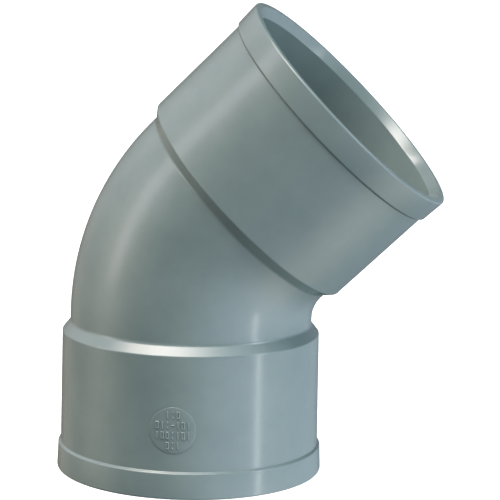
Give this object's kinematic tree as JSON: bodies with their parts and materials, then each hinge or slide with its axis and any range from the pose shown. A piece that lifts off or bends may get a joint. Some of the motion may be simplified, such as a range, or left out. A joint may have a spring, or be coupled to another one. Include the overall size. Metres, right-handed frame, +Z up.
{
  "type": "pvc elbow fitting",
  "caption": "Pipe elbow with a raised collar round each socket mouth, moulded in grey-green PVC, that turns a glued pipe run through 45 degrees.",
  "frame": {"origin": "centre of the lower socket's mouth, on the plane of its rim", "axes": "+Z up the lower socket's axis; the bend lies in the XZ plane and leans the upper socket towards +X; the marking badge faces -Y"},
  "size_m": [0.174, 0.1212, 0.2137],
  "materials": {
    "grey_green_pvc": "satin moulded PVC"
  },
  "bodies": {
    "root": {"lower_mouth_collar": "grey_green_pvc", "lower_socket_sleeve": "grey_green_pvc", "lower_stop_ring": "grey_green_pvc", "lower_shoulder": "grey_green_pvc", "bend_tube": "grey_green_pvc", "upper_shoulder": "grey_green_pvc", "upper_stop_ring": "grey_green_pvc", "upper_socket_sleeve": "grey_green_pvc", "upper_mouth_collar": "grey_green_pvc", "marking_badge": "grey_green_pvc", "badge_marks": "grey_green_pvc"}
  },
  "joints": []
}
